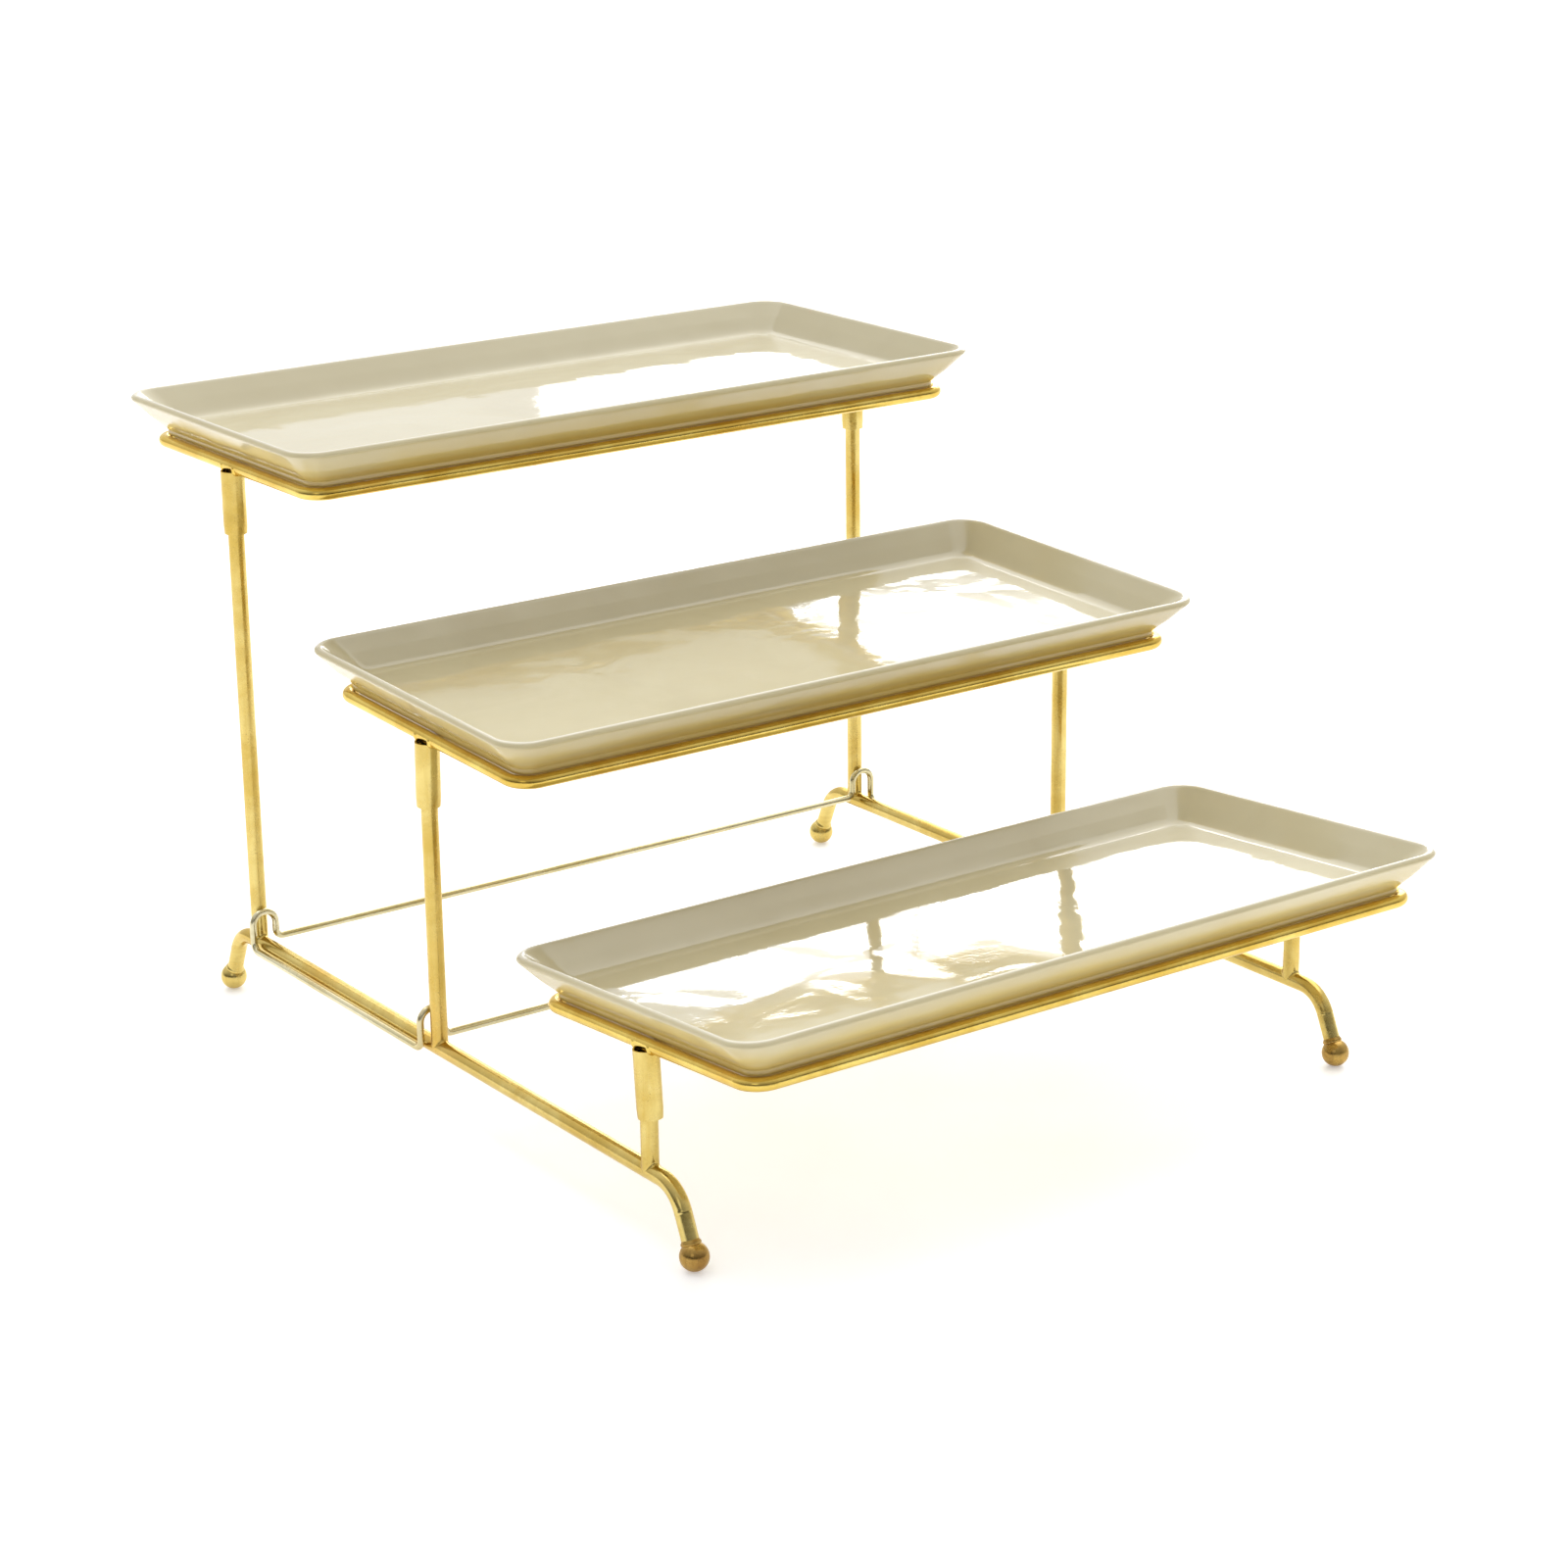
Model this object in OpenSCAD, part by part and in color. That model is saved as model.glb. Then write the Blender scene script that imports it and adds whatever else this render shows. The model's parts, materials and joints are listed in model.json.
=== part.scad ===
// Three-tier stepped serving stand. Rectangular glazed trays sit in wire racks, the racks'
// sockets drop over the posts of two welded side frames, and a loose wire spreader hooks
// over the base rails between them.
// X runs along the trays, +Y to the tallest tier at the rear, +Z up. The origin is on the
// table, midway between the feet. All sizes are in millimetres.

/* [Tiers] */
// Horizontal distance from one tier to the next
tier_depth = 133; // [132:1:170]
// Height from one rack to the next
tier_rise = 70.4; // [50:0.1:110]
// Height of the lowest rack's wire above the table
first_rack_z = 70; // [66:1:110]

/* [Trays] */
// Length of a tray over its rim
tray_length = 302; // [220:1:400]
// Width of a tray over its rim
tray_width = 140; // [90:1:142]
// Corner radius of the rim
rim_corner_r = 12; // [12:0.5:17]
// Height of the rim above the rack wire's centre line
rim_height = 18; // [17:0.5:24]
// How far the upright band under the flare sits inside the rim
band_inset = 11.4; // [11:0.1:11.8]
// Height of the upright band
band_height = 2.2; // [2:0.1:4.5]
// Thickness of the flared wall, which is also the lip's diameter
tray_wall = 2.8; // [2.6:0.1:4]
// Thickness of the floor
floor_thickness = 3.4; // [2.6:0.1:4.2]
// Radius of the fillet where the floor meets the wall inside
floor_fillet_r = 5; // [2:0.5:5]

/* [Racks] */
// Diameter of the rack wire
rack_wire_d = 4.6; // [4:0.1:5]
// How far the rack wire's centre line sits inside the tray's rim
rack_inset = 10; // [9.9:0.1:10.1]
// Centre line radius of the rack wire's corners
rack_corner_r = 8; // [8:0.5:10]
// Outer diameter of the sockets welded under the rack
socket_d = 8.8; // [8.8:0.1:10]
// Length of a socket
socket_length = 23.4; // [12:0.2:23.4]
// Radial play of a post in its socket, which lets a rack rock
socket_play = 0.9; // [0.9:0.05:1]
// Tilt of the rear rack in its sockets' play, positive tipping it to the front, in degrees
rear_rock = 0; // [-4.3:0.1:4.3]
// Tilt of the middle rack in its sockets' play
middle_rock = 2; // [-4.3:0.1:4.3]
// Tilt of the front rack in its sockets' play
front_rock = -4.3; // [-4.3:0.1:4.3]

/* [Side frames] */
// Diameter of the rails and posts
rod_d = 6; // [5:0.5:6]
// Height of the rails' centre line above the table
rail_z = 26; // [24:1:32]
// Length of straight rail past the outer posts, before it bends down
rail_overhang = 6.5; // [4:0.5:12]
// Centre line radius of the bend into each leg
leg_bend_r = 13; // [8:1:15]
// Slope of the legs below the horizontal, in degrees
leg_slope = 66; // [50:1:75]
// Diameter of the ball feet
ball_d = 10; // [9:0.5:12]

/* [Spreader] */
// Diameter of the spreader's wire
spreader_wire_d = 2.6; // [2:0.1:2.6]
// Height of the spreader's outer runs beside the rails
outer_run_z = 25; // [24.5:0.5:27]
// Distance of the outer runs outboard of the rails' centre lines
outer_run_offset = 5; // [5:0.1:6]
// Distance of the arches' inner legs inboard of the rails' centre lines
inner_leg_offset = 4.5; // [4.5:0.1:6]
// Height of the cross wires between the two side frames
cross_wire_z = 28.5; // [28:0.5:30]
// Height of the arches' centre line at the top
arch_top_z = 39.5; // [38:0.5:44]

/* [Hidden] */

$fn = 64;
FRONT = -1;
MIDDLE = 0;
REAR = 1;
LEFT = -1;
RIGHT = 1;

// Colours
glaze = [0.86, 0.84, 0.74];
gold = [0.86, 0.70, 0.24];
bright_gold = [0.93, 0.78, 0.34];

// Plan: the rack wire and the tray's foot and band turn about the same four corner centres,
// and the flare above them, which has sharper corners, about four others nearer the rim
base_turn = rack_inset + rack_corner_r;
flare_turn = rim_corner_r;

// Tray sections, measured outward from a corner centre and up from the rack wire's centre
rest_gap = 0.1;
wire_r = rack_wire_d / 2;
base_band_x = base_turn - band_inset;
band_x = flare_turn - band_inset;
band_z = sqrt(wire_r * wire_r - pow(rack_corner_r - base_band_x, 2)) + rest_gap;
band_top = band_z + band_height;
foot_out_x = base_band_x - 2.1;
foot_in_x = foot_out_x - 3;
foot_z = -0.3;
floor_z = 3;
floor_top = floor_z + floor_thickness;
lip_r = tray_wall / 2;
lip_x = flare_turn - lip_r;
lip_z = rim_height - lip_r;

// Flared wall: the outside runs from the band's top edge tangent to the lip
flare_dx = lip_x - band_x;
flare_dz = lip_z - band_top;
flare = atan2(flare_dz, flare_dx) - asin(lip_r / norm([flare_dx, flare_dz]));
wall_foot_x = lip_x - lip_r * sin(flare)
    - (lip_z + lip_r * cos(flare) - floor_top) / tan(flare);
fillet_x = wall_foot_x - floor_fillet_r * tan(flare / 2);
floor_edge_inset = flare_turn - fillet_x;
lip_steps = 8;
fillet_steps = 4;

// Posts stand under the middle of the rack's short sides
post_x = tray_length / 2 - rack_inset;
rod_r = rod_d / 2;
post_gap = 0.4;
socket_seat = 1.6;
socket_taper = 3;
socket_mouth_wall = 0.3;
rock_pivot_z = -(wire_r + post_gap + socket_seat + socket_length) / 2;

// Rails and feet
rail_half = tier_depth + rail_overhang;
leg_y = rail_half + leg_bend_r * sin(leg_slope);
leg_z = rail_z - leg_bend_r * (1 - cos(leg_slope));
ball_r = ball_d / 2;
bend_swell = 0.05;
ball_flat = 0.2;
ball_z = ball_r - ball_flat;
leg_length = (leg_z - ball_z) / sin(leg_slope);
ball_y = leg_y + leg_length * cos(leg_slope);

// Spreader: its arches stand against the rear posts and the middle posts
spreader_r = spreader_wire_d / 2;
arch_gap = 0.1;
arch_post_distance = rod_r + spreader_r + arch_gap;
rear_arch_y = tier_depth - arch_post_distance;
front_arch_y = arch_post_distance;
outer_run_x = post_x + outer_run_offset;
inner_leg_x = post_x - inner_leg_offset;
arch_r = (outer_run_x - inner_leg_x) / 2;
arch_z = arch_top_z - arch_r;
outer_bend_r = 3.5;
inner_bend_r = 3;

function tier_y(tier) = tier * tier_depth;
function rack_z(tier) = first_rack_z + (tier + 1) * tier_rise;
function rock(tier) = tier == REAR ? rear_rock : tier == MIDDLE ? middle_rock : front_rock;
function arc(x, z, r, from, to, steps) =
    [for (i = [0:steps]) let (a = from + (to - from) * i / steps) [x + r * cos(a), z + r * sin(a)]];

// Places a rack's own frame, whose origin is the middle of its wire. It rocks about the
// middle of the stretch of post that its sockets hold.
module in_rack(tier) {
    translate([0, tier_y(tier), rack_z(tier) + rock_pivot_z]) rotate([rock(tier), 0, 0])
        translate([0, 0, -rock_pivot_z]) children();
}

// Sweeps a section around the rim's rectangle, turning each corner about a centre that lies
// turn inside both sides; the section's x is measured outward from there
module sweep_around(turn) {
    x = tray_length / 2 - turn;
    y = tray_width / 2 - turn;
    for (corner = [[1, 1, 0], [-1, 1, 90], [-1, -1, 180], [1, -1, 270]])
        translate([corner[0] * x, corner[1] * y, 0])
            rotate(corner[2])
                rotate_extrude(angle = 90) intersection() {
                    children();
                    translate([0, -turn]) square(4 * turn);
                }
    for (half_turn = [0, 180]) {
        rotate(half_turn) translate([x, y, 0]) rotate([90, 0, 0])
            linear_extrude(2 * y) children();
        rotate(half_turn) translate([-x, y, 0]) rotate([90, 0, 90])
            linear_extrude(2 * x) children();
    }
}

// Slab that stays inset inside the rim's rectangle
module inner_slab(inset, from_z, to_z) {
    x = tray_length / 2 - inset;
    y = tray_width / 2 - inset;
    translate([-x, -y, from_z]) cube([2 * x, 2 * y, to_z - from_z]);
}

// Foot and upright band, which locate the tray in its rack
module base_section() {
    polygon([
        [0, floor_z], [foot_in_x, floor_z], [foot_in_x, foot_z], [foot_out_x, foot_z],
        [foot_out_x, band_z], [base_band_x, band_z], [base_band_x, band_top],
        [base_turn - floor_edge_inset, floor_top], [0, floor_top]
    ]);
}

// Flared wall with its lip and the fillet where it meets the floor
module flare_section() {
    polygon(concat(
        [[fillet_x, band_top], [band_x, band_top]],
        arc(lip_x, lip_z, lip_r, flare - 90, flare + 90, lip_steps),
        arc(fillet_x, floor_top + floor_fillet_r, floor_fillet_r, flare - 90, -90, fillet_steps)
    ));
}

module tray(tier) {
    color(glaze) in_rack(tier) {
        sweep_around(base_turn) base_section();
        sweep_around(flare_turn) flare_section();
        inner_slab(base_turn, floor_z, floor_top);
        inner_slab(floor_edge_inset, band_top, floor_top);
    }
}

module rack_wire(tier) {
    color(bright_gold) in_rack(tier)
        sweep_around(base_turn) translate([rack_corner_r, 0]) circle(wire_r);
}

// Tube welded up against the rack wire, tapered at its mouth, open over the post
module socket(tier, side) {
    top = -socket_seat;
    color(gold) in_rack(tier) translate([side * post_x, 0, 0]) difference() {
        union() {
            translate([0, 0, top - socket_length + socket_taper])
                cylinder(d = socket_d, h = socket_length - socket_taper);
            translate([0, 0, top - socket_length])
                cylinder(r1 = rod_r + socket_play + socket_mouth_wall, d2 = socket_d, h = socket_taper);
        }
        translate([0, 0, top - socket_length - 1])
            cylinder(r = rod_r + socket_play, h = socket_length + 2);
        rotate([90, 0, 0]) cylinder(r = wire_r, h = 2 * socket_d, center = true);
    }
}

// Post welded on the rail; its top stops just under the rack wire
module post(tier, side) {
    top = rack_z(tier) - wire_r - post_gap;
    color(gold) translate([side * post_x, tier_y(tier), rail_z])
        cylinder(r = rod_r, h = top - rail_z);
}

module wire_bend(bend_r, wire_radius, angle) {
    rotate_extrude(angle = angle) translate([bend_r, 0]) circle(wire_radius);
}

// Frame of the rear leg's bend: x points up to the rail at first, and the bend turns to +y
module bend_frame() {
    translate([0, rail_half, rail_z - leg_bend_r]) rotate([90, 0, 90])
        rotate(90) mirror([0, 1, 0]) children();
}

// Sloping rod from the end of the bend down to the middle of the ball foot
module leg_rod() {
    rotate(leg_slope) translate([leg_bend_r, 0, 0]) rotate([-90, 0, 0])
        cylinder(r = rod_r, h = leg_length);
}

// One rod, bent down at both ends, and swollen a hair where each bend ends
module rail(side) {
    color(gold) translate([side * post_x, 0, 0]) for (end = [0, 1]) mirror([0, end, 0])
        bend_frame() {
            translate([leg_bend_r, 0, 0]) rotate([90, 0, 0]) cylinder(r = rod_r, h = rail_half);
            wire_bend(leg_bend_r, rod_r, leg_slope);
            rotate(leg_slope) translate([leg_bend_r, 0, 0]) sphere(rod_r + bend_swell);
            leg_rod();
        }
}

// Ball welded over the end of the leg, with a small flat to stand on
module foot(tier, side) {
    color(gold) translate([side * post_x, 0, 0]) mirror([0, tier == FRONT ? 1 : 0, 0]) difference() {
        translate([0, ball_y, ball_z]) sphere(ball_r);
        translate([-ball_r, ball_y - ball_r, -ball_r]) cube([ball_d, ball_d, ball_r]);
    }
}

// One arch over a rail, seen from the right: outer leg, half turn, inner leg, bend inward
module spreader_arch(y) {
    translate([outer_run_x, y, outer_run_z + outer_bend_r])
        cylinder(r = spreader_r, h = arch_z - outer_run_z - outer_bend_r);
    translate([outer_run_x - arch_r, y, arch_z]) rotate([90, 0, 0])
        wire_bend(arch_r, spreader_r, 180);
    translate([inner_leg_x, y, cross_wire_z + inner_bend_r])
        cylinder(r = spreader_r, h = arch_z - cross_wire_z - inner_bend_r);
    translate([inner_leg_x - inner_bend_r, y, cross_wire_z + inner_bend_r]) rotate([90, 0, 0])
        rotate(-90) wire_bend(inner_bend_r, spreader_r, 90);
}

module spreader_side() {
    run_start = front_arch_y + outer_bend_r;
    run_end = rear_arch_y - outer_bend_r;
    translate([outer_run_x, run_end, outer_run_z]) rotate([90, 0, 0])
        cylinder(r = spreader_r, h = run_end - run_start);
    for (bend = [[run_end, -90], [run_start, 180]])
        translate([outer_run_x, bend[0], outer_run_z + outer_bend_r]) rotate([90, 0, 90])
            rotate(bend[1]) wire_bend(outer_bend_r, spreader_r, 90);
    spreader_arch(rear_arch_y);
    spreader_arch(front_arch_y);
}

module spreader() {
    cross_half = inner_leg_x - inner_bend_r;
    color(bright_gold) {
        for (side = [0, 1]) mirror([side, 0, 0]) spreader_side();
        for (y = [front_arch_y, rear_arch_y])
            translate([-cross_half, y, cross_wire_z]) rotate([0, 90, 0])
                cylinder(r = spreader_r, h = 2 * cross_half);
    }
}

tray(REAR);  // rear_tray
tray(MIDDLE);  // middle_tray
tray(FRONT);  // front_tray
rack_wire(REAR);  // rear_rack_wire
socket(REAR, LEFT);  // rear_rack_left_socket
socket(REAR, RIGHT);  // rear_rack_right_socket
rack_wire(MIDDLE);  // middle_rack_wire
socket(MIDDLE, LEFT);  // middle_rack_left_socket
socket(MIDDLE, RIGHT);  // middle_rack_right_socket
rack_wire(FRONT);  // front_rack_wire
socket(FRONT, LEFT);  // front_rack_left_socket
socket(FRONT, RIGHT);  // front_rack_right_socket
rail(LEFT);  // left_rail
post(REAR, LEFT);  // left_rear_post
post(MIDDLE, LEFT);  // left_middle_post
post(FRONT, LEFT);  // left_front_post
foot(REAR, LEFT);  // left_rear_foot
foot(FRONT, LEFT);  // left_front_foot
rail(RIGHT);  // right_rail
post(REAR, RIGHT);  // right_rear_post
post(MIDDLE, RIGHT);  // right_middle_post
post(FRONT, RIGHT);  // right_front_post
foot(REAR, RIGHT);  // right_rear_foot
foot(FRONT, RIGHT);  // right_front_foot
spreader();
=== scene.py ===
import json
import math

import bmesh
import bpy
import numpy as np
from mathutils import Matrix, Vector, noise


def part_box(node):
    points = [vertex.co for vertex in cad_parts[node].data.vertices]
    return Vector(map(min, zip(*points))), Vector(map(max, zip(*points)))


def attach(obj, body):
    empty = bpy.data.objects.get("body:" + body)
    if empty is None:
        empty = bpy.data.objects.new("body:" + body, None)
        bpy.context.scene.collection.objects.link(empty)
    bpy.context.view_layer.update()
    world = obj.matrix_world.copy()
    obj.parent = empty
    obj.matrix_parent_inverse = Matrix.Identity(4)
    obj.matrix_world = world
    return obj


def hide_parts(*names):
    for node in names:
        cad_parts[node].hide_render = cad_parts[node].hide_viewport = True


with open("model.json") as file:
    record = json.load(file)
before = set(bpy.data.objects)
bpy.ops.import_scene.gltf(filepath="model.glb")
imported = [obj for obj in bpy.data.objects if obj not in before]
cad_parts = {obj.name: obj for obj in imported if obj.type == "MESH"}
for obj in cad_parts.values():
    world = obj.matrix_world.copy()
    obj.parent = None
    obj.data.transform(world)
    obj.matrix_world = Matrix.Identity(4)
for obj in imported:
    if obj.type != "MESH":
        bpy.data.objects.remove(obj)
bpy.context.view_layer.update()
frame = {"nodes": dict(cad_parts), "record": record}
TIERS = ("rear", "middle", "front")
SIDES = ("left", "right")
MM = 0.001
mount = {m["name"]: m for m in frame["record"]["mounts"]}


# ------------------------------------------------------------------ materials
class Graph:
    """Short way to write a node material. Its noise is in the object's own metres."""

    def __init__(self, name):
        self.material = bpy.data.materials.new(name)
        self.material.use_nodes = True
        self.tree = self.material.node_tree
        self.shader = self.tree.nodes["Principled BSDF"]
        coords = self.tree.nodes.new("ShaderNodeTexCoord")
        self.place = coords.outputs["Object"]

    def node(self, kind, inputs=None, **settings):
        made = self.tree.nodes.new(kind)
        for key, value in settings.items():
            setattr(made, key, value)
        for key, value in (inputs or {}).items():
            self.put(made.inputs[key], value)
        return made

    def put(self, socket, value):
        if isinstance(value, bpy.types.NodeSocket):
            self.tree.links.new(value, socket)
        else:
            socket.default_value = value

    def stretched(self, squeeze):
        """The place, scaled per axis, which draws noise out where the scale is low."""
        made = self.node("ShaderNodeMapping", {"Vector": self.place, "Scale": squeeze})
        return made.outputs["Vector"]

    def noise(self, scale, detail=4.0, roughness=0.55, distortion=0.0, place=None):
        made = self.node(
            "ShaderNodeTexNoise",
            {
                "Vector": place or self.place,
                "Scale": scale,
                "Detail": detail,
                "Roughness": roughness,
                "Distortion": distortion,
            },
        )
        return made.outputs["Fac"]

    def spots(self, scale, size, soft):
        """1 in round spots about size/scale across, 0 between them."""
        cells = self.node(
            "ShaderNodeTexVoronoi", {"Vector": self.place, "Scale": scale}
        )
        return self.ramp(cells.outputs["Distance"], size, size + soft, 1, 0)

    def ramp(self, value, low, high, to_low=0.0, to_high=1.0):
        made = self.node(
            "ShaderNodeMapRange",
            {
                "Value": value,
                "From Min": low,
                "From Max": high,
                "To Min": to_low,
                "To Max": to_high,
            },
            interpolation_type="SMOOTHSTEP",
        )
        return made.outputs["Result"]

    def math(self, operation, a, b=0.0):
        made = self.node("ShaderNodeMath", {0: a, 1: b}, operation=operation)
        return made.outputs[0]

    def mix(self, factor, a, b):
        made = self.node(
            "ShaderNodeMix", {"Factor": factor}, data_type="RGBA", blend_type="MIX"
        )
        self.put(made.inputs[6], a)
        self.put(made.inputs[7], b)
        return made.outputs[2]

    def bump(self, height, distance, strength=1.0, normal=None):
        made = self.node(
            "ShaderNodeBump",
            {"Height": height, "Distance": distance, "Strength": strength},
        )
        if normal is not None:
            self.put(made.inputs["Normal"], normal)
        return made.outputs["Normal"]

    def attribute(self, name):
        return self.node("ShaderNodeAttribute", attribute_name=name).outputs["Fac"]

    def finish(self, **sockets):
        for key, value in sockets.items():
            self.put(self.shader.inputs[key.replace("_", " ")], value)
        return self.material


def rgb(r, g, b):
    return (r, g, b, 1.0)


def clamp(value, low=0.0, high=1.0):
    return max(low, min(high, value))


def porcelain():
    """Cream glaze: cloudy and specked, a painted highlight on the lip, painted warm
    gold reflection and shade low on the outer wall, and bare clay under the foot."""
    g = Graph("porcelain")
    edge = g.attribute("lip_highlight")
    bare = g.attribute("bare_foot")
    low_wall = g.attribute("low_wall")
    slope = g.attribute("slope")
    cloud = g.ramp(g.noise(9, 3), 0.3, 0.7)
    body = g.mix(cloud, rgb(0.565, 0.50, 0.315), rgb(0.605, 0.545, 0.36))
    pooling_and_reflection = g.ramp(g.noise(26, 4, 0.5, 0.4), 0.5, 0.75, 0, 0.32)
    body = g.mix(pooling_and_reflection, body, rgb(0.50, 0.43, 0.26))
    # painted highlight: a whiter line along the lip
    body = g.mix(g.math("MULTIPLY", edge, 0.85), body, rgb(0.88, 0.85, 0.76))
    # painted reflection: warm gold tint of the rack and table down the outer wall
    warm = g.math("MULTIPLY", low_wall, g.ramp(g.noise(22, 3), 0.25, 0.7, 0.6, 1.0))
    body = g.mix(warm, body, rgb(0.62, 0.48, 0.17))
    # painted reflection of the gold rack wire and painted shade at the foot of the
    # outer wall
    body = g.mix(g.ramp(low_wall, 0.9, 1.0, 0, 0.45), body, rgb(0.60, 0.40, 0.08))
    specks = g.spots(260, 0.035, 0.05)
    specks = g.math("MULTIPLY", specks, g.ramp(g.noise(30), 0.55, 0.7))
    body = g.mix(g.math("MULTIPLY", specks, 0.45), body, rgb(0.48, 0.38, 0.24))
    clay = g.mix(g.noise(900, 3), rgb(0.72, 0.66, 0.56), rgb(0.84, 0.79, 0.70))
    colour = g.mix(bare, body, clay)
    sheen_patch = g.ramp(g.noise(60, 4), 0.3, 0.75, 0.03, 0.07)
    rough = g.math("MAXIMUM", sheen_patch, g.math("MULTIPLY", slope, 0.17))
    rough = g.math("MAXIMUM", rough, g.math("MULTIPLY", bare, 0.75))
    coat = g.ramp(low_wall, 0.1, 0.6, 0.3, 0.0)
    coat = g.math("MULTIPLY", coat, g.math("SUBTRACT", 1.0, slope))
    wave = g.bump(g.noise(26, 2, 0.4, 0.6), 0.0010, 0.7)
    peel = g.bump(g.noise(520, 2, 0.5), 0.00003, 0.5, wave)
    return g.finish(
        Base_Color=colour,
        Roughness=rough,
        IOR=1.52,
        Normal=peel,
        Coat_Weight=coat,
        Coat_Roughness=0.04,
        Subsurface_Weight=0.06,
        Subsurface_Radius=(0.004, 0.003, 0.002),
        Subsurface_Scale=0.5,
    )


# which way the painted reflection streaks run along the wire
UPRIGHT = (1.0, 1.0, 0.05)
LEVEL = (0.05, 0.05, 1.0)


def gold(name, light, deep, warm, rough_low, rough_high, mottling, grain, squeeze):
    """Plated wire: cloudy gold with lengthwise dark streaks painted in as reflections,
    warm blushes, flecks and scorched welds."""
    g = Graph(name)
    cloud = g.ramp(g.noise(42, 5, 0.6, 0.4), 0.32, 0.68)
    colour = g.mix(cloud, deep, light)
    # painted reflection: dark streaks drawn out along the wire
    streak = g.noise(430, 3, 0.5, 0.0, g.stretched(squeeze))
    streak = g.ramp(streak, 0.42, 0.68, 0, 0.5)
    colour = g.mix(streak, colour, deep)
    blush = g.ramp(g.noise(19, 3, 0.5), 0.56, 0.74, 0, mottling)
    colour = g.mix(blush, colour, warm)
    fleck = g.spots(620, 0.05, 0.16)
    fleck = g.math("MULTIPLY", fleck, g.ramp(g.noise(90), 0.5, 0.72))
    colour = g.mix(g.math("MULTIPLY", fleck, 0.6), colour, rgb(0.20, 0.11, 0.03))
    heat = g.math(
        "MULTIPLY", g.attribute("heat"), g.ramp(g.noise(260, 3), 0.3, 0.6, 0.5, 1)
    )
    colour = g.mix(heat, colour, rgb(0.30, 0.13, 0.03))
    rough = g.ramp(g.noise(130, 6, 0.65), 0.3, 0.72, rough_low, rough_high)
    rough = g.math("ADD", rough, g.math("MULTIPLY", fleck, 0.25))
    dents = g.bump(g.noise(95, 3, 0.5), 0.00035, 0.35)
    orange_peel = g.bump(g.noise(1500, 3, 0.6), 0.00004, grain, dents)
    return g.finish(
        Base_Color=colour,
        Metallic=1.0,
        Roughness=rough,
        IOR=1.45,
        Normal=orange_peel,
        Specular_Tint=rgb(1.0, 0.93, 0.78),
        Coat_Weight=0.25,
        Coat_Roughness=0.12,
    )


def table_top():
    g = Graph("table_top")
    cloud = g.ramp(g.noise(1.6, 3), 0.3, 0.7)
    colour = g.mix(cloud, rgb(0.925, 0.935, 0.965), rgb(0.945, 0.955, 0.98))
    return g.finish(
        Base_Color=colour,
        Roughness=g.ramp(g.noise(12), 0.3, 0.7, 0.55, 0.68),
        Emission_Color=rgb(0.97, 0.98, 1.0),
        Emission_Strength=0.34,
        Normal=g.bump(g.noise(300, 3), 0.0001, 0.2),
    )


PORCELAIN = porcelain()
# light, deep and warm tone of each gold
RACK = (rgb(0.78, 0.60, 0.155), rgb(0.61, 0.40, 0.06), rgb(0.74, 0.44, 0.08))
FRAME = (rgb(0.69, 0.545, 0.185), rgb(0.54, 0.37, 0.075), rgb(0.66, 0.40, 0.075))
FOOT = (rgb(0.50, 0.32, 0.08), rgb(0.23, 0.12, 0.025), rgb(0.32, 0.15, 0.03))
SPREADER = (rgb(0.71, 0.66, 0.46), rgb(0.57, 0.50, 0.28), rgb(0.66, 0.52, 0.25))
GOLD = {
    "rack_gold": gold("rack_gold", *RACK, 0.13, 0.26, 0.4, 0.3, LEVEL),
    "frame_gold": gold("frame_gold", *FRAME, 0.18, 0.34, 0.5, 0.45, UPRIGHT),
    "foot_gold": gold("foot_gold", *FOOT, 0.2, 0.4, 0.8, 0.6, UPRIGHT),
    "spreader_gold": gold("spreader_gold", *SPREADER, 0.16, 0.3, 0.4, 0.35, LEVEL),
}
RAIL_GOLD = gold("rail_gold", *FRAME, 0.16, 0.3, 0.5, 0.4, LEVEL)
TABLE_TOP = table_top()


# ----------------------------------------------------------------- mesh pieces
def new_piece(name, vertices, faces, material, body=None):
    mesh = bpy.data.meshes.new(name)
    mesh.from_pydata([tuple(v) for v in vertices], [], faces)
    mesh.update()
    piece = bpy.data.objects.new(name, mesh)
    bpy.context.scene.collection.objects.link(piece)
    mesh.materials.append(material)
    mesh.polygons.foreach_set("use_smooth", [True] * len(mesh.polygons))
    if body:
        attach(piece, body)
    return piece


def set_attribute(piece, name, values):
    made = piece.data.attributes.new(name, "FLOAT", "POINT")
    made.data.foreach_set("value", np.asarray(values, np.float32))


def rounded(corners, steps=6):
    """Polyline through (x, z, radius) corners, each turned on an arc of its radius."""
    line = []
    for i, (x, z, radius) in enumerate(corners):
        here = Vector((x, z))
        if radius <= 0 or i in (0, len(corners) - 1):
            line.append(here)
            continue
        back = (Vector(corners[i - 1][:2]) - here).normalized()
        ahead = (Vector(corners[i + 1][:2]) - here).normalized()
        half = back.angle(ahead) / 2
        reach = radius / math.tan(half)
        centre = here + (back + ahead).normalized() * (radius / math.sin(half))
        a = here + back * reach - centre
        b = here + ahead * reach - centre
        turn = a.angle_signed(b)
        for k in range(steps + 1):
            c, s = math.cos(-turn * k / steps), math.sin(-turn * k / steps)
            line.append(centre + Vector((a.x * c - a.y * s, a.x * s + a.y * c)))
    return line


def divided(line, longest):
    """The same polyline with no step longer than longest."""
    out = [line[0]]
    for a, b in zip(line, line[1:]):
        n = max(1, math.ceil((b - a).length / longest))
        out += [a.lerp(b, k / n) for k in range(1, n + 1)]
    return out


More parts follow.
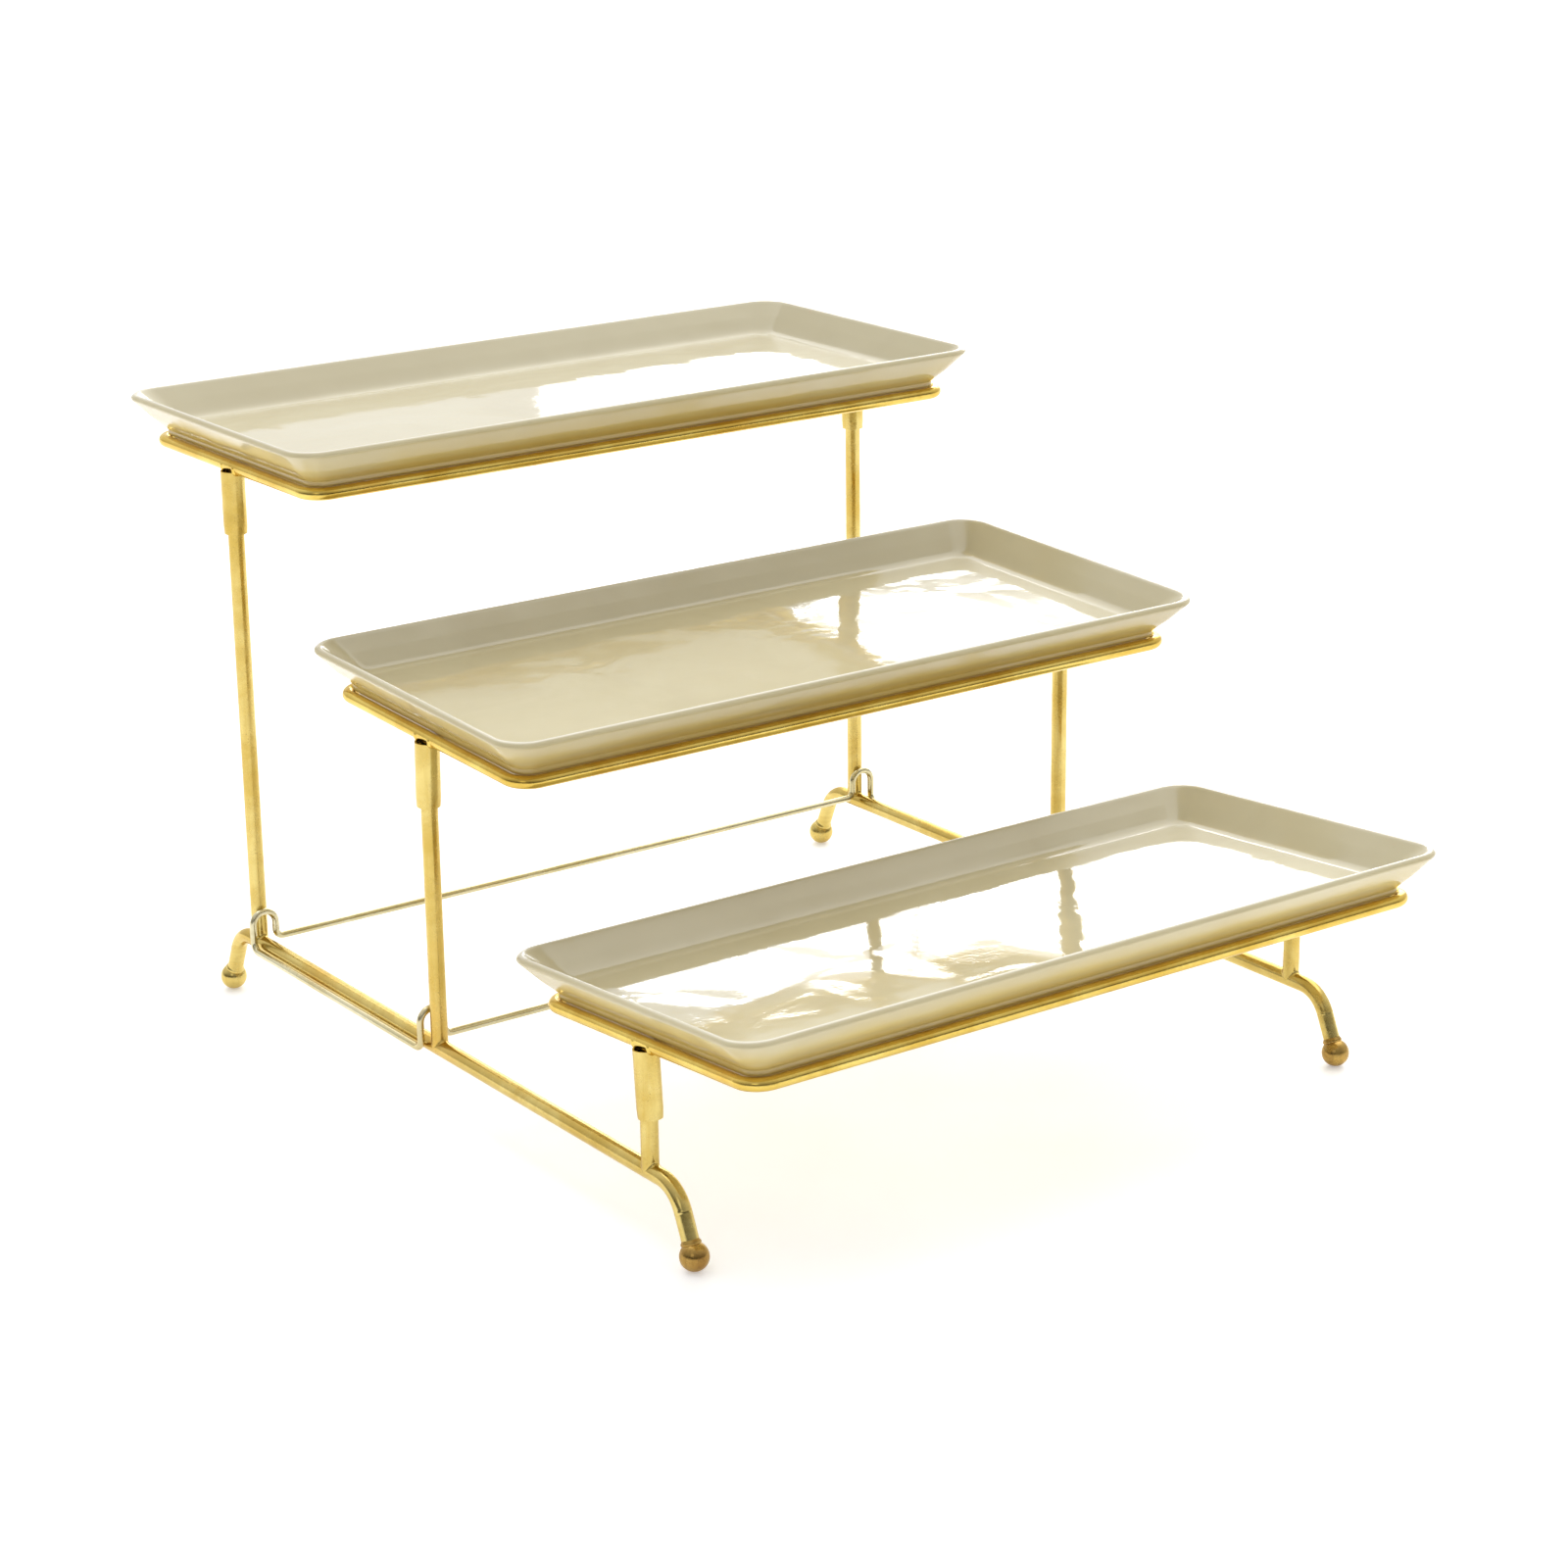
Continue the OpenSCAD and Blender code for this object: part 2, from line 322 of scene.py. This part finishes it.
# Tray section in mm: outward from a line GRID_INSET inside the rim, up from the
# floor's top, and the radius that each corner is turned on
LIP_R = 1.4
GRID_INSET = 18.0
RIM_CORNER_R = 12.0
BAND_INSET, BAND_CORNER_R = 11.4, 6.6
FLOOR_INSET, FLOOR_CORNER_R = 14.6, 6.0
WALL_TOP = 11.0  # about where the lip begins
GLAZE_BOTTOM = -6.45  # the foot rim is bare clay below this
TRAY_SECTION = [
    (0.0, -3.4, 0),
    (1.5, -3.4, 0.7),
    (1.6, -6.7, 0.8),
    (4.4, -6.7, 1.2),
    (4.5, -4.4, 0.5),
    (6.6, -4.4, 0.4),
    (6.6, -2.2, 0.7),
    (11.4, 2.3, 30),
    (17.95, 9.6, 1.0),
    (16.2, 11.65, 1.3),
    (9.9, 6.1, 14),
    (3.4, 0.0, 6.5),
    (0.0, 0.0, 0),
]


def tray_frame(tier):
    """A tray's own frame: origin in the middle of its floor's top, Z square to it."""
    m = mount[tier + "_tray_floor"]
    up = Vector(m["axis"]).normalized()
    along = Vector((1, 0, 0))
    back = up.cross(along).normalized()
    turned = Matrix((along, back, up)).transposed().to_4x4()
    return Matrix.Translation(Vector(m["pos_m"])) @ turned


def plan_radius(inset, outside):
    """Corner radius in mm of the tray's outline at this inset from the rim."""
    edge_inset = BAND_INSET if outside else FLOOR_INSET
    edge_r = BAND_CORNER_R if outside else FLOOR_CORNER_R
    if inset <= edge_inset:
        return RIM_CORNER_R + (edge_r - RIM_CORNER_R) * inset / edge_inset
    return edge_r * (GRID_INSET - inset) / (GRID_INSET - edge_inset)


def build_tray(tier):
    lo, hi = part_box(tier + "_tray")
    placed = tray_frame(tier)
    lip = LIP_R * MM
    tilt_cos = placed.to_3x3().col[2].z
    half_x = (hi.x - lo.x) / 2
    half_y = ((hi.y - lo.y) / 2 - lip) / tilt_cos + lip
    section = divided(rounded(TRAY_SECTION), 1.0)
    # stations round the plan: at a corner or how far between two, and which way is out
    stations = []
    per_corner, per_x, per_y = 20, 64, 30
    quarters = ((1, 1), (-1, 1), (-1, -1), (1, -1))
    for q, here in enumerate(quarters):
        here = Vector((*here, 0))
        for k in range(per_corner + 1):
            angle = math.radians(90 * q + 90 * k / per_corner)
            stations.append((here, Vector((math.cos(angle), math.sin(angle), 0))))
        ahead = Vector((*quarters[(q + 1) % 4], 0))
        steps = per_x if q % 2 == 0 else per_y
        for k in range(1, steps):
            stations.append((here.lerp(ahead, k / steps), stations[-1][1]))
    seed = Vector((3.7 * TIERS.index(tier), 1.3, 8.1))
    vertices, edge, bare, low_wall, slope = [], [], [], [], []
    lip_at = max(range(len(section)), key=lambda k: section[k].y)
    for between, outward in stations:
        for k, p in enumerate(section):
            inset = GRID_INSET - p.x
            radius = plan_radius(inset, k < lip_at)
            turn = (inset + radius) * MM
            across, deep = half_x - turn, half_y - turn
            at = Vector((between.x * across, between.y * deep, p.y * MM))
            at += outward * (radius * MM)
            lift = clamp(p.y / WALL_TOP)
            drift = noise.noise(at * 9 + seed) * 0.22 * MM * lift
            at -= outward * abs(drift)
            at.z -= abs(noise.noise(at * 7 - seed)) * 0.25 * MM * lift
            vertices.append(placed @ at)
            # where the painted highlight on the lip lies
            edge.append(clamp((p.y - 10.7) / 0.6))
            bare.append(1.0 if p.y < GLAZE_BOTTOM else 0.0)
            # how far down the outer wall, for the painted gold reflection and shade
            # there
            pooling_and_reflection = (WALL_TOP - p.y) / 12.0 if k < lip_at else 0.0
            low_wall.append(clamp(pooling_and_reflection) ** 0.6)
            slope.append(clamp((p.y - 0.6) / 3.0))
    n, m = len(stations), len(section)
    faces = []
    for i in range(n):
        j = (i + 1) % n
        for k in range(m - 1):
            same_centre = (stations[i][0] - stations[j][0]).length < 1e-9
            a, b = i * m + k, j * m + k
            c, d = j * m + k + 1, i * m + k + 1
            if same_centre and k == 0:
                faces.append((a, c, d))
            elif same_centre and k == m - 2:
                faces.append((a, b, d))
            else:
                faces.append((a, b, c, d))
    # flat middle, above and below, on a grid that meets the ring's inner points
    for p in (section[0], section[-1]):
        first = len(vertices)
        for v in range(per_y + 1):
            for u in range(per_x + 1):
                gx = (half_x - GRID_INSET * MM) * (2 * u / per_x - 1)
                gy = (half_y - GRID_INSET * MM) * (2 * v / per_y - 1)
                vertices.append(placed @ Vector((gx, gy, p.y * MM)))
                edge.append(0.0)
                bare.append(0.0)
                low_wall.append(0.0)
                slope.append(0.0)
        row = per_x + 1
        for v in range(per_y):
            for u in range(per_x):
                a = first + v * row + u
                faces.append((a, a + 1, a + row + 1, a + row))
    piece = new_piece(
        tier + "_tray_glazed", vertices, faces, PORCELAIN, tier + "_tray"
    )
    set_attribute(piece, "lip_highlight", edge)
    set_attribute(piece, "bare_foot", bare)
    set_attribute(piece, "low_wall", low_wall)
    set_attribute(piece, "slope", slope)
    bm = bmesh.new()
    bm.from_mesh(piece.data)
    bmesh.ops.remove_doubles(bm, verts=bm.verts, dist=1e-7)
    bmesh.ops.dissolve_degenerate(bm, edges=bm.edges, dist=1e-8)
    bmesh.ops.recalc_face_normals(bm, faces=bm.faces)
    bm.to_mesh(piece.data)
    bm.free()
    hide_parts(tier + "_tray")


for tier in TIERS:
    build_tray(tier)

for row in frame["record"]["subparts"]:
    if row["node"].endswith("_tray"):
        continue
    node = frame["nodes"][row["node"]]
    slot = row["material_slot"]
    node.data.materials.clear()
    look = RAIL_GOLD if row["node"].endswith("_rail") else GOLD[slot]
    node.data.materials.append(look)


# -------------------------------------------------------------- weld beads
SKIN = 0.03 * MM  # how far a saddle stands off the rods it joins
LEG_SLOPE = math.radians(66)
WELD_OFFSET = 4.4 * MM  # from a socket's middle to the welds on the rack wire
WIRE_DROP = 6.4 * MM  # from a tray floor's top down to its rack wire's centre line


def box_width(node):
    lo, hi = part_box(node)
    return hi.x - lo.x


def box_height(node, placed):
    """Height of a node's box in the tray's own frame."""
    there = placed.inverted()
    heights = [(there @ v.co).z for v in frame["nodes"][node].data.vertices]
    return max(heights) - min(heights)


def weld_saddle(name, post, body, reach=1.1 * MM, steps=72):
    """Small uneven fillet where an upright rod stands on a level one of its size."""
    lo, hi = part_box(post)
    x, y = (lo.x + hi.x) / 2, (lo.y + hi.y) / 2
    r = (hi.x - lo.x) / 2
    rail_z = lo.z
    seed = Vector((x * 40, y * 40, 2.0))
    across = 7
    vertices, faces = [], []
    for i in range(steps):
        a = 2 * math.pi * i / steps
        c, s = math.cos(a), math.sin(a)
        rough = noise.noise(Vector((c * 1.7, s * 1.7, 0)) + seed)
        h = reach * (abs(s) ** 0.8) * (1 + 0.35 * rough)
        saddle = math.sqrt(max(0.0, r * r - (r * c) ** 2))
        for k in range(across):
            t = k / (across - 1)
            # concave quarter arc from the post's skin to the rail's skin
            out = h * (1 - math.cos(t * math.pi / 2))
            up = h * (1 - math.sin(t * math.pi / 2))
            px = (r + SKIN) * c
            py = (r + SKIN + out) * s
            top = math.sqrt(max(0.0, (r + SKIN) ** 2 - px * px))
            vertices.append((x + px, y + py, rail_z + max(saddle, top) + up))
    for i in range(steps):
        j = (i + 1) % steps
        for k in range(across - 1):
            a, b = i * across + k, j * across + k
            faces.append((a, a + 1, b + 1, b))
    piece = new_piece(name, vertices, faces, GOLD["frame_gold"], body)
    set_attribute(piece, "heat", [0.55] * len(vertices))


def weld_ring(
    name, centre, axis, radius, swell, length, material, body, heat, away=None
):
    """Uneven bead round a rod: a low swelling that fades out both ways along the axis,
    and towards the direction away, if one is given."""
    axis = Vector(axis).normalized()
    side = axis.orthogonal().normalized()
    other = axis.cross(side)
    seed = Vector(centre) * 60
    steps, across = 48, 11
    vertices, faces = [], []
    for i in range(steps):
        a = 2 * math.pi * i / steps
        out = side * math.cos(a) + other * math.sin(a)
        rough = noise.noise(out * 1.6 + seed)
        share = 1.0 if away is None else max(0.0, 0.3 - 0.7 * out.dot(away))
        for k in range(across):
            t = -1 + 2 * k / (across - 1)
            fade = 0.5 + 0.5 * math.cos(t * math.pi)
            grow = share * swell * (1 + 0.4 * rough) * fade
            at = (
                Vector(centre)
                + axis * (t * length / 2)
                + out * (radius - 0.02 * MM + grow)
            )
            vertices.append(at)
    for i in range(steps):
        j = (i + 1) % steps
        for k in range(across - 1):
            a, b = i * across + k, j * across + k
            faces.append((a, b, b + 1, a + 1))
    piece = new_piece(name, vertices, faces, GOLD[material], body)
    blotches = [0.5 + 1.6 * noise.noise(v * 420 + seed) for v in vertices]
    set_attribute(piece, "heat", [heat * clamp(b, 0.2) for b in blotches])


for side in SIDES:
    for tier in TIERS:
        weld_saddle(f"{side}_{tier}_post_weld", f"{side}_{tier}_post", "side_frames")
    for end, sign in (("rear", 1), ("front", -1)):
        lo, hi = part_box(f"{side}_{end}_foot")
        ball_r = (hi.x - lo.x) / 2
        rod_r = box_width(f"{side}_{end}_post") / 2
        ball = Vector(((lo.x + hi.x) / 2, (lo.y + hi.y) / 2, hi.z - ball_r))
        leg = Vector((0, -sign * math.cos(LEG_SLOPE), math.sin(LEG_SLOPE)))
        neck = math.sqrt(ball_r**2 - rod_r**2) + 0.35 * MM
        weld_ring(
            f"{side}_{end}_foot_weld",
            ball + leg * neck,
            leg,
            rod_r,
            0.5 * MM,
            2.6 * MM,
            "frame_gold" if end == "rear" else "foot_gold",
            "side_frames",
            0.35 if end == "rear" else 0.95,
        )
    for tier in TIERS:
        placed = tray_frame(tier)
        post_lo, post_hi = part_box(f"{side}_{tier}_post")
        up, along = placed.to_3x3().col[2], placed.to_3x3().col[1]
        wire_r = box_height(f"{tier}_rack_wire", placed) / 2
        for number, offset in enumerate((-WELD_OFFSET, WELD_OFFSET)):
            at = placed @ Vector(((post_lo.x + post_hi.x) / 2, offset, -WIRE_DROP))
            weld_ring(
                f"{tier}_rack_{side}_weld_{number}",
                at,
                along,
                wire_r,
                0.8 * MM,
                3.2 * MM,
                "rack_gold",
                f"{tier}_rack",
                0.25,
                up,
            )

# ------------------------------------------------------------ floor and lights
floor_half = 14.0
floor_z = -0.0002
cells = 24
grid = [
    (
        -floor_half + 2 * floor_half * i / cells,
        -floor_half + 2 * floor_half * j / cells,
        floor_z,
    )
    for j in range(cells + 1)
    for i in range(cells + 1)
]
squares = [
    (
        j * (cells + 1) + i,
        j * (cells + 1) + i + 1,
        (j + 1) * (cells + 1) + i + 1,
        (j + 1) * (cells + 1) + i,
    )
    for j in range(cells)
    for i in range(cells)
]
floor = new_piece("floor", grid, squares, TABLE_TOP)

# camera fitted to the photograph's edges: degrees, mm and m
AZIMUTH, ELEVATION, ROLL = 35.572, 18.083, -0.726
FOCAL = 83.79
TARGET = Vector((-0.00117, -0.01445, 0.09896))
DISTANCE = 1.327
az, el, roll = (math.radians(v) for v in (AZIMUTH, ELEVATION, ROLL))
look = Vector(
    (math.sin(az) * math.cos(el), math.cos(az) * math.cos(el), -math.sin(el))
)
right = Vector((math.cos(az), -math.sin(az), 0))
up = right.cross(look)
right, up = (
    right * math.cos(roll) + up * math.sin(roll),
    up * math.cos(roll) - right * math.sin(roll),
)
camera_data = bpy.data.cameras.new("camera")
camera_data.lens = FOCAL
camera_data.sensor_width = 36
camera_data.clip_start = 0.05
camera_data.clip_end = 100
camera = bpy.data.objects.new("camera", camera_data)
bpy.context.scene.collection.objects.link(camera)
camera.matrix_world = Matrix.Translation(TARGET - look * DISTANCE) @ (
    Matrix((right, up, -look)).transposed().to_4x4()
)
bpy.context.scene.camera = camera


def area_light(name, place, aim, size, size_y, power):
    data = bpy.data.lights.new(name, "AREA")
    data.shape = "RECTANGLE"
    data.size, data.size_y = size, size_y
    data.energy = power
    lamp = bpy.data.objects.new(name, data)
    bpy.context.scene.collection.objects.link(lamp)
    lamp.location = place
    lamp.rotation_mode = "QUATERNION"
    lamp.rotation_quaternion = (Vector(aim) - Vector(place)).to_track_quat("-Z", "Y")


# a window of divided panes behind and to the right, which the glaze mirrors
window_az = math.radians(43)
window_side = Vector((math.cos(window_az), -math.sin(window_az), 0))
window_far = Vector((math.sin(window_az), math.cos(window_az), 0))
WINDOW_DISTANCE, PANE_POWER = 3.0, 17  # m, and W per square metre
# per row of panes: height, how tall, and each pane's (offset, width), all in m
ROWS = (
    (0.75, 0.25, ((-0.49, 0.36), (0.82, 0.98))),
    (0.80, 0.36, ((-0.01, 0.58),)),
    (1.38, 0.50, ((-0.47, 0.20), (-0.02, 0.60), (0.82, 0.98))),
)
for level_name, (height, tall, panes) in zip(("low", "middle", "high"), ROWS):
    for pane, (offset, width) in enumerate(panes):
        aim = window_side * offset + Vector((0, 0, 0.15))
        place = window_far * WINDOW_DISTANCE + window_side * offset
        place.z = height
        power = PANE_POWER * width * tall
        area_light(f"{level_name}_pane_{pane}", place, aim, width, tall, power)
area_light("front_left", (-1.7, -1.3, 1.2), (0, 0, 0.1), 0.8, 0.8, 1.5)

# broad soft daylight from high up behind the window's side
daylight_data = bpy.data.lights.new("daylight", "SUN")
daylight_data.energy = 1.3
daylight_data.angle = math.radians(70)
daylight = bpy.data.objects.new("daylight", daylight_data)
bpy.context.scene.collection.objects.link(daylight)
daylight.rotation_mode = "QUATERNION"
daylight.rotation_quaternion = Vector((-0.35, -0.4, -1)).to_track_quat("-Z", "Y")

# sky of a bright room: brightest above and behind, dimmer on the camera's side
world = bpy.data.worlds.new("studio")
bpy.context.scene.world = world
world.use_nodes = True
nodes, links = world.node_tree.nodes, world.node_tree.links
ray = nodes.new("ShaderNodeTexCoord").outputs["Generated"]
dot = nodes.new("ShaderNodeVectorMath")
dot.operation = "DOT_PRODUCT"
dot.inputs[1].default_value = (0.45, 0.55, 0.7)
links.new(ray, dot.inputs[0])


def world_ramp(value, low, high, to_low, to_high):
    made = nodes.new("ShaderNodeMapRange")
    made.interpolation_type = "SMOOTHSTEP"
    for number, setting in enumerate((low, high, to_low, to_high)):
        made.inputs[number + 1].default_value = setting
    links.new(value, made.inputs[0])
    return made.outputs["Result"]


def world_math(operation, a, b):
    made = nodes.new("ShaderNodeMath")
    made.operation = operation
    for number, value in enumerate((a, b)):
        if isinstance(value, bpy.types.NodeSocket):
            links.new(value, made.inputs[number])
        else:
            made.inputs[number].default_value = value
    return made.outputs[0]


sky = world_ramp(dot.outputs["Value"], -0.6, 0.9, 0.3, 1.05)
# a darker strip of room low on the camera's side draws dark lines along the wires
parts = nodes.new("ShaderNodeSeparateXYZ")
links.new(ray, parts.inputs[0])
low_down = world_ramp(parts.outputs["Z"], 0.03, 0.42, 0.85, 0.0)
near_side = nodes.new("ShaderNodeVectorMath")
near_side.operation = "DOT_PRODUCT"
near_side.inputs[1].default_value = (-0.58, -0.81, 0)
links.new(ray, near_side.inputs[0])
near = world_ramp(near_side.outputs["Value"], -0.3, 0.4, 0.0, 1.0)
kept = world_math("SUBTRACT", 1.0, world_math("MULTIPLY", low_down, near))
# seen straight on, past the floor's edge, the room is plain white
seen = nodes.new("ShaderNodeLightPath").outputs["Is Camera Ray"]
strength = world_math("MAXIMUM", world_math("MULTIPLY", sky, kept), seen)
links.new(strength, nodes["Background"].inputs["Strength"])
nodes["Background"].inputs["Color"].default_value = rgb(1.0, 1.0, 1.0)
bpy.context.scene.view_settings.view_transform = "Standard"
